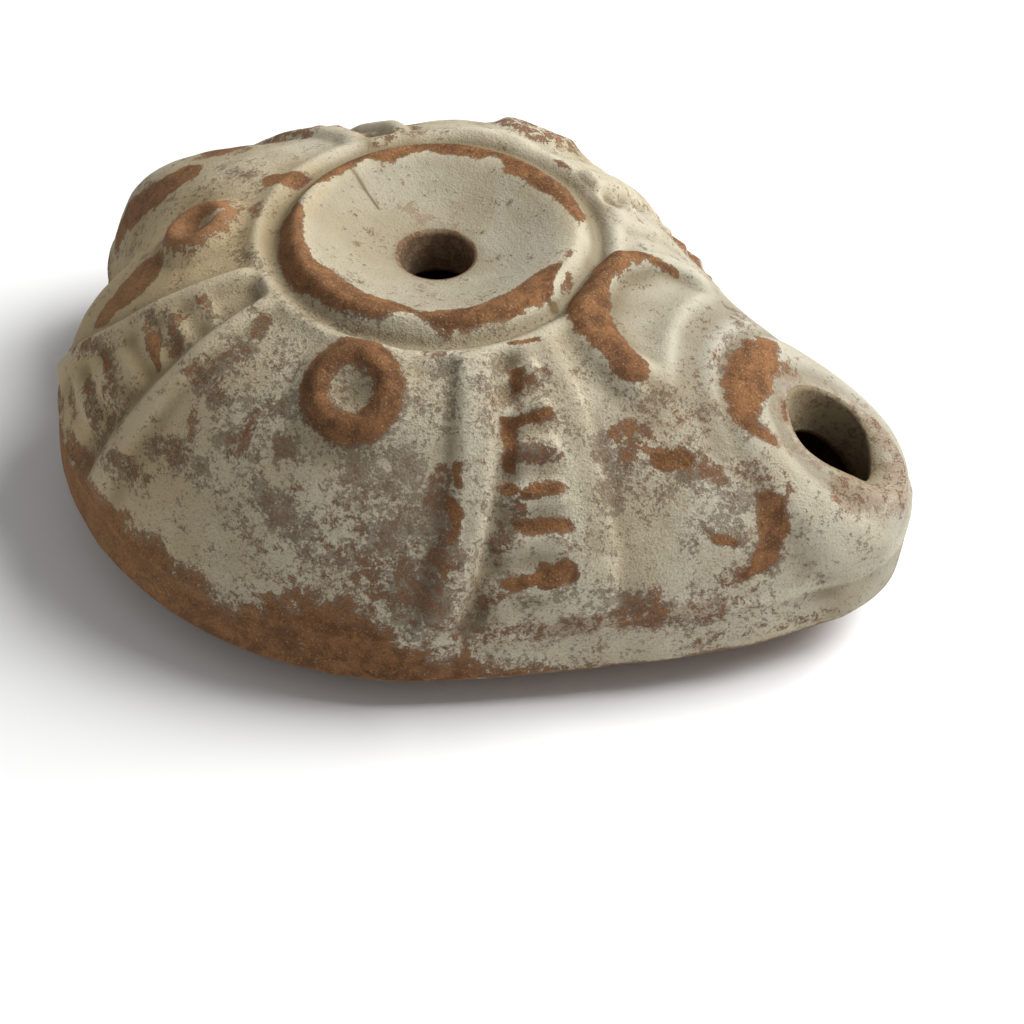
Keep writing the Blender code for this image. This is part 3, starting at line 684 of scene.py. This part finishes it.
def blur(values, rounds):
    # each point becomes the mean of its four neighbours and itself twice; the columns run round
    for _ in range(rounds):
        padded = np.concatenate([values[:1], values, values[-1:]])
        values = (padded[:-2] + padded[2:] + np.roll(values, 1, 1) + np.roll(values, -1, 1) + 2 * values) / 6
    return values


wander = lumps(outer, *wear["wander"])
mirrored = [(-start, share0, -end, share1, half) for start, share0, end, share1, half
            in legs(wear["strokes"] + wear["broken"])
            if any(low < start < high and share0 > least for low, high, least in wear["mirrored"])]
ringAngles, ringMiddles, ringWidths = np.array(wear["ringBand"]).T
ringMiddle = np.interp(outerDegrees, ringAngles, ringMiddles) + wear["ringWander"] * wander
ringWide = np.interp(outerDegrees, ringAngles, ringWidths) - wear["ringInset"]
ringPeak, ringSteep = wear["edges"]["ringBand"]
nearBoss, farBoss, backBoss = facts["bossOff"]


def bossRing(off, kind):  # a bump with a flat top, at a radius
    middle, half = wear[kind]
    return bump(off - middle, half, wear["bossPower"])


rimStart = np.interp(outerDegrees, wear["rimAngles"], wear["rimShares"])
pastRim = (share - rimStart + wear["rimWander"] * wander) / wear["rimFade"]
bare = np.maximum.reduce([
    strokeField("strokes"), strokeField("broken"), wear["farSide"] * strokeField("mirrored", mirrored),
    np.clip(0.5 + (ringWide - np.abs(plan * 1000 - ringMiddle)) * ringSteep, 0, ringPeak),
    bossRing(nearBoss, "nearBoss"), wear["farBossAmount"] * bossRing(farBoss, "farBoss"),
    bump(backBoss, wear["backBoss"], wear["bossPower"]), np.clip(0.5 + pastRim, 0, wear["rimPeak"]) * slope])
for place, down, spread, depth, amount in wear["zones"]:
    bare = bare + amount * np.exp(-(degreesFrom(place) / spread) ** 4 - ((share - down) / depth) ** 4) * slope
bare = bare + wear["everywhere"] + wear["everywhereWander"] * wander
bare = bare * (1 - planField("kept"))

wickMiddle, wickHalf, wickAmount = wear["wickBand"]
thin = np.maximum.reduce([strokeField("thin"), planField("stains"),
                          wickAmount * bump(facts["fromWick"] - wickMiddle, wickHalf)])

# hollows below the blurred relief are darkened: dirt and painted shade together
hollowness = (blur(facts["relief"], wear["blurRounds"]) - facts["relief"]) / wear["hollowDepth"]
# painted shade: the ring's groove darkened on its left side only, the side away from the light
grooveAt, grooveHalf, grooveAmount = wear["ringGrooveShade"]
inGroove = bump(plan - grooveAt, grooveHalf) * within(outerDegrees % 360, *wear["ringGrooveShadeRun"])
dirt = np.maximum.reduce([np.clip(hollowness, 0, 1), wear["strokeDirtAndShade"] * strokeField("dirty"),
                          grooveAmount * inGroove])
# the dish darker towards the filling hole
dishFrom, dishTo, dishAmount = wear["dishDarkening"]
bossMiddle, bossHalf, bossAmount = wear["bossDirt"]
dirt = (dirt + dishAmount * smooth(plan, dishFrom, dishTo) + wear["crackDirt"] * planField("cracks")
        + wear["dimpleDirt"] * planField("dimples")
        + bossAmount * bump(nearBoss - bossMiddle, bossHalf, wear["bossPower"])
        + wear["smudgeDirt"] * strokeField("smudged"))

dishFrom, dishTo, dishAmount = wear["greyDish"]
fields = {
    "bare": bare, "thin": thin, "dirt": dirt, "specked": strokeField("specked"),
    # painted fill light: the back of the near side, which lies in shade, is made warmer and, on bare clay,
    # lighter
    "warm": smooth(x, *wear["warmFillAlong"]) * smooth(y, *wear["warmFillAcross"]),
    "grey": np.maximum(smooth(x, *wear["greyAlong"]) * smooth(y, *wear["greyAcross"]),
                       dishAmount * smooth(plan, dishFrom, dishTo)),
    # painted highlight: what stands above the blurred relief is made lighter
    "crest": np.clip(-hollowness - wear["crestHighlightFrom"], 0, 1),
    "coarse": smooth(x, *wear["coarseAlong"]) * smooth(y, *wear["coarseAcross"]),
}
for name, values in fields.items():
    whole = np.array((0.0, *wear["elsewhere"][name]))[parts]
    whole[:values.size] = values.ravel()  # the outer surface's points come first
    setField(lamp, name, whole[used])
print("wear worked out")


class Wire:  # a socket; sums with it add Math nodes
    def __init__(self, shade, socket):
        self.shade, self.socket = shade, socket

    def math(self, operation, first, second):
        return self.shade.node("ShaderNodeMath", {"operation": operation}, {0: first, 1: second})

    def __add__(self, other): return self.math("ADD", self, other)
    def __radd__(self, other): return self.math("ADD", other, self)
    def __sub__(self, other): return self.math("SUBTRACT", self, other)
    def __rsub__(self, other): return self.math("SUBTRACT", other, self)
    def __mul__(self, other): return self.math("MULTIPLY", self, other)
    def __rmul__(self, other): return self.math("MULTIPLY", other, self)


class Shade:  # one material's node tree
    def __init__(self, name):
        self.material = bpy.data.materials.new(name)
        self.material.use_nodes = True
        self.tree = self.material.node_tree
        self.shader = self.tree.nodes["Principled BSDF"]

    def node(self, kind, settings, inputs, out=0):  # settings first, then values or wires, then the output
        made = self.tree.nodes.new(kind)
        for name, value in settings.items():
            setattr(made, name, value)
        self.feed(made, inputs)
        return Wire(self, made.outputs[out])

    def feed(self, made, inputs):
        for name, value in inputs.items():
            if isinstance(value, Wire):
                self.tree.links.new(value.socket, made.inputs[name])
            else:
                made.inputs[name].default_value = value

    def step(self, wire, limits):  # 0 at the first limit, 1 at the second, 3t^2 - 2t^3 between
        return self.node("ShaderNodeMapRange", {"interpolation_type": "SMOOTHSTEP"},
                         {0: wire, 1: limits[0], 2: limits[1], 3: 0.0, 4: 1.0})

    def mix(self, factor, first, second):
        return self.node("ShaderNodeMix", {"data_type": "RGBA", "blend_type": "MIX"},
                         {0: factor, 6: first, 7: second}, 2)

    def noise(self, where, size, detail, roughness, distortion=0.0):
        return self.node("ShaderNodeTexNoise", {"noise_dimensions": "3D"},
                         {"Vector": where, "Scale": 1.0 / size, "Detail": detail, "Roughness": roughness,
                          "Distortion": distortion})

    def field(self, name):
        return self.node("ShaderNodeAttribute", {"attribute_name": name}, {}, 2)


def paint(red, green, blue):  # a colour from screen values of 0 to 255, by the screen's own curve
    part = np.array([red, green, blue]) / 255
    linear = np.where(part <= 0.04045, part / 12.92, ((part + 0.055) / 1.055) ** 2.4)
    return (*[float(v) for v in linear], 1.0)


finish = {
    # the light slip colour also paints the highlight on crests; the slip's dirt colour and the dark clay pit
    # colour also paint shade in hollows; the warm slip and clay colours are lightened as painted fill light
    # on the shaded side
    "slipPale": paint(188, 180, 158), "slipTan": paint(166, 153, 125), "slipWarmFillLit": paint(186, 163, 120),
    "slipGrey": paint(154, 151, 139), "slipLightAndHighlight": paint(208, 200, 178), "slipPit": paint(132, 119, 94),
    "slipDirtAndShade": paint(108, 93, 64), "thinSlip": paint(134, 106, 84), "fleck": paint(86, 68, 55),
    "clayBright": paint(138, 97, 62), "clayDark": paint(102, 70, 45), "clayWarmFillLit": paint(178, 134, 92),
    "claySpeck": paint(172, 150, 122), "clayPitAndShade": paint(70, 47, 34),
    # noises: size in metres, detail, roughness, distortion
    "flake": (.0011, 6, .74, .25), "grain": (.00022, 3, .6), "cluster": (.0028, 3, .6),
    "cloud": (.007, 3, .55), "bloom": (.0018, 4, .65, .4), "dust": (.0005, 5, .75),
    # how much flake and grain fray an edge
    "ragged": (2, .7), "raggedDeep": .4, "bloomDeep": .8,
    # what wears the slip thin and what flecks it, besides bareness itself
    "wornBy": {"thin": .4, "specked": .07, "coarse": .05, "ragged": 1.1, "cluster": .6},
    "fleckedBy": {"cluster": .5, "bare": .08, "specked": .13, "coarse": .055},
    # where each mask starts and where it is full
    "goneAt": (.47, .54), "wornAt": (.32, .46), "deepAt": (.5, .85), "fleckAt": (.635, .675),
    "cloudAt": (.35, .68), "bloomAt": (.36, .64), "flakePitAt": (.5, .58), "grainPitAt": (.48, .6),
    "claySpeckAt": (.59, .66), "clayPitAt": (.42, .34),
    "grainPitsEverywhere": .7,  # against 1 where the slip is coarse
    # layers, each over the one before: mask, colour, how much it covers
    # the crest layer is a painted highlight, the dirt layers are dirt and painted shade, the warm layers
    # painted fill light
    "slipLayers": (("warm", "slipWarmFillLit", .75), ("grey", "slipGrey", .7), ("coarse", "slipLightAndHighlight", .3),
                   ("flakePits", "slipPit", .18), ("grainPits", "slipPit", .2), ("dirt", "slipDirtAndShade", .62),
                   ("crest", "slipLightAndHighlight", .3), ("worn", "thinSlip", .52), ("flecks", "fleck", .55)),
    "clayLayers": (("warm", "clayWarmFillLit", .35), ("claySpecks", "claySpeck", .5),
                   ("clayPits", "clayPitAndShade", .55), ("dirt", "clayPitAndShade", .3)),
    "clayStrength": (.6, .4),  # deep in a bare place the clay is itself, at its edge paler
    # relief in the shading alone: slip's thickness, grain where coarse and everywhere, flake, dust, flecks
    "relief": (.5, .4, .4, .6, .5, .2), "reliefDepth": .00028, "reliefStrength": .8,
    "roughness": .86, "rougherClay": .06, "specular": .2,
}


def slippedClay():
    shade = Shade("slippedClay")
    place = shade.node("ShaderNodeTexCoord", {}, {}, 3)
    masks = {name: shade.field(name) for name in fields}
    bareHere, coarse = masks["bare"], masks["coarse"]
    flake, grain, cluster, cloud, bloom, dust = (
        shade.noise(place, *finish[name]) for name in ("flake", "grain", "cluster", "cloud", "bloom", "dust"))
    byFlake, byGrain = finish["ragged"]
    ragged = (flake - 0.5) * byFlake + (grain - 0.5) * byGrain
    gone = shade.step(bareHere + ragged, finish["goneAt"])  # slip gone, clay to be seen
    by = finish["wornBy"]
    worn = (bareHere + masks["thin"] * by["thin"] + masks["specked"] * by["specked"] + coarse * by["coarse"]
            + ragged * by["ragged"] + (cluster - 0.5) * by["cluster"])
    by = finish["fleckedBy"]
    flecks = (dust + (cluster - 0.5) * by["cluster"] + bareHere * by["bare"]
              + masks["specked"] * by["specked"] + coarse * by["coarse"])
    deep = shade.step(bareHere + ragged * finish["raggedDeep"] + (bloom - 0.5) * finish["bloomDeep"],
                      finish["deepAt"])  # the middle of a bare place is the most orange
    masks.update(
        worn=shade.step(worn, finish["wornAt"]), flecks=shade.step(flecks, finish["fleckAt"]),
        flakePits=shade.step(flake, finish["flakePitAt"]) * coarse,
        grainPits=shade.step(grain, finish["grainPitAt"]) * (coarse + finish["grainPitsEverywhere"]),
        claySpecks=shade.step(grain, finish["claySpeckAt"]), clayPits=shade.step(grain, finish["clayPitAt"]))
    slip = shade.mix(shade.step(cloud, finish["cloudAt"]), finish["slipPale"], finish["slipTan"])
    for mask, colour, cover in finish["slipLayers"]:
        slip = shade.mix(masks[mask] * cover, slip, finish[colour])
    clay = shade.mix(shade.step(bloom, finish["bloomAt"]), finish["clayDark"], finish["clayBright"])
    deepMore, deepLeast = finish["clayStrength"]
    clay = shade.mix(deep * deepMore + deepLeast, finish["thinSlip"], clay)
    for mask, colour, cover in finish["clayLayers"]:
        clay = shade.mix(masks[mask] * cover, clay, finish[colour])
    bySlip, byCoarse, byGrain, byFlake, byDust, byFlecks = finish["relief"]
    height = ((1 - gone) * bySlip + grain * (coarse * byCoarse + byGrain) + flake * byFlake + dust * byDust
              - masks["flecks"] * byFlecks)
    relief = shade.node("ShaderNodeBump", {}, {"Strength": finish["reliefStrength"],
                                               "Distance": finish["reliefDepth"], "Height": height})
    shade.feed(shade.shader, {"Base Color": shade.mix(gone, slip, clay), "Normal": relief,
                              "Roughness": finish["roughness"] + gone * finish["rougherClay"],
                              "Specular IOR Level": finish["specular"]})
    return shade.material


lamp.data.materials.append(slippedClay())
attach(lamp, "root")
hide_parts("lamp_body")
print("lamp dressed")

# Floor, light and camera
studio = {
    "floorHalf": 3, "floorColour": paint(240, 240, 240), "floorRoughness": .9,
    "sky": .325, "keyPower": 5, "keySize": .35, "keyAt": (.3, .22, .42),
    "elevation": 44.455, "azimuth": 23.162, "distance": .3, "lens": 108.97, "nearClip": .01,
    "aim": (.013845, -.013712, .012),  # from the ring's middle
}
floorMesh = bpy.data.meshes.new("floor")
far = studio["floorHalf"]
floorMesh.from_pydata([(-far, -far, 0), (far, -far, 0), (far, far, 0), (-far, far, 0)], [], [(0, 1, 2, 3)])
floor = bpy.data.objects.new("floor", floorMesh)
bpy.context.scene.collection.objects.link(floor)
floorShade = Shade("paleFloor")
floorShade.feed(floorShade.shader, {
    "Base Color": studio["floorColour"], "Roughness": studio["floorRoughness"]})
floor.data.materials.append(floorShade.material)

world = bpy.data.worlds.new("studioSky")
world.use_nodes = True
sky = world.node_tree.nodes["Background"].inputs
sky["Color"].default_value, sky["Strength"].default_value = (1, 1, 1, 1), studio["sky"]
bpy.context.scene.world = world
lampLight = bpy.data.lights.new("softBox", "AREA")
lampLight.energy, lampLight.size = studio["keyPower"], studio["keySize"]
softBox = bpy.data.objects.new("softBox", lampLight)
softBox.location = studio["keyAt"]
softBox.rotation_euler = Vector(studio["keyAt"]).to_track_quat("Z", "Y").to_euler()
bpy.context.scene.collection.objects.link(softBox)

up, around = math.radians(studio["elevation"]), math.radians(studio["azimuth"])
away = Vector((math.sin(around) * math.cos(up), -math.cos(around) * math.cos(up), math.sin(up)))
aim = Vector(studio["aim"]) + Vector((*form["ringCentre"], 0.0))
cameraData = bpy.data.cameras.new("camera")
cameraData.lens, cameraData.clip_start = studio["lens"], studio["nearClip"]
camera = bpy.data.objects.new("camera", cameraData)
camera.location = aim + away * studio["distance"]
camera.rotation_euler = away.to_track_quat("Z", "Y").to_euler()
bpy.context.scene.collection.objects.link(camera)
bpy.context.scene.camera = camera
bpy.context.scene.view_settings.view_transform = "Standard"
print("studio set")
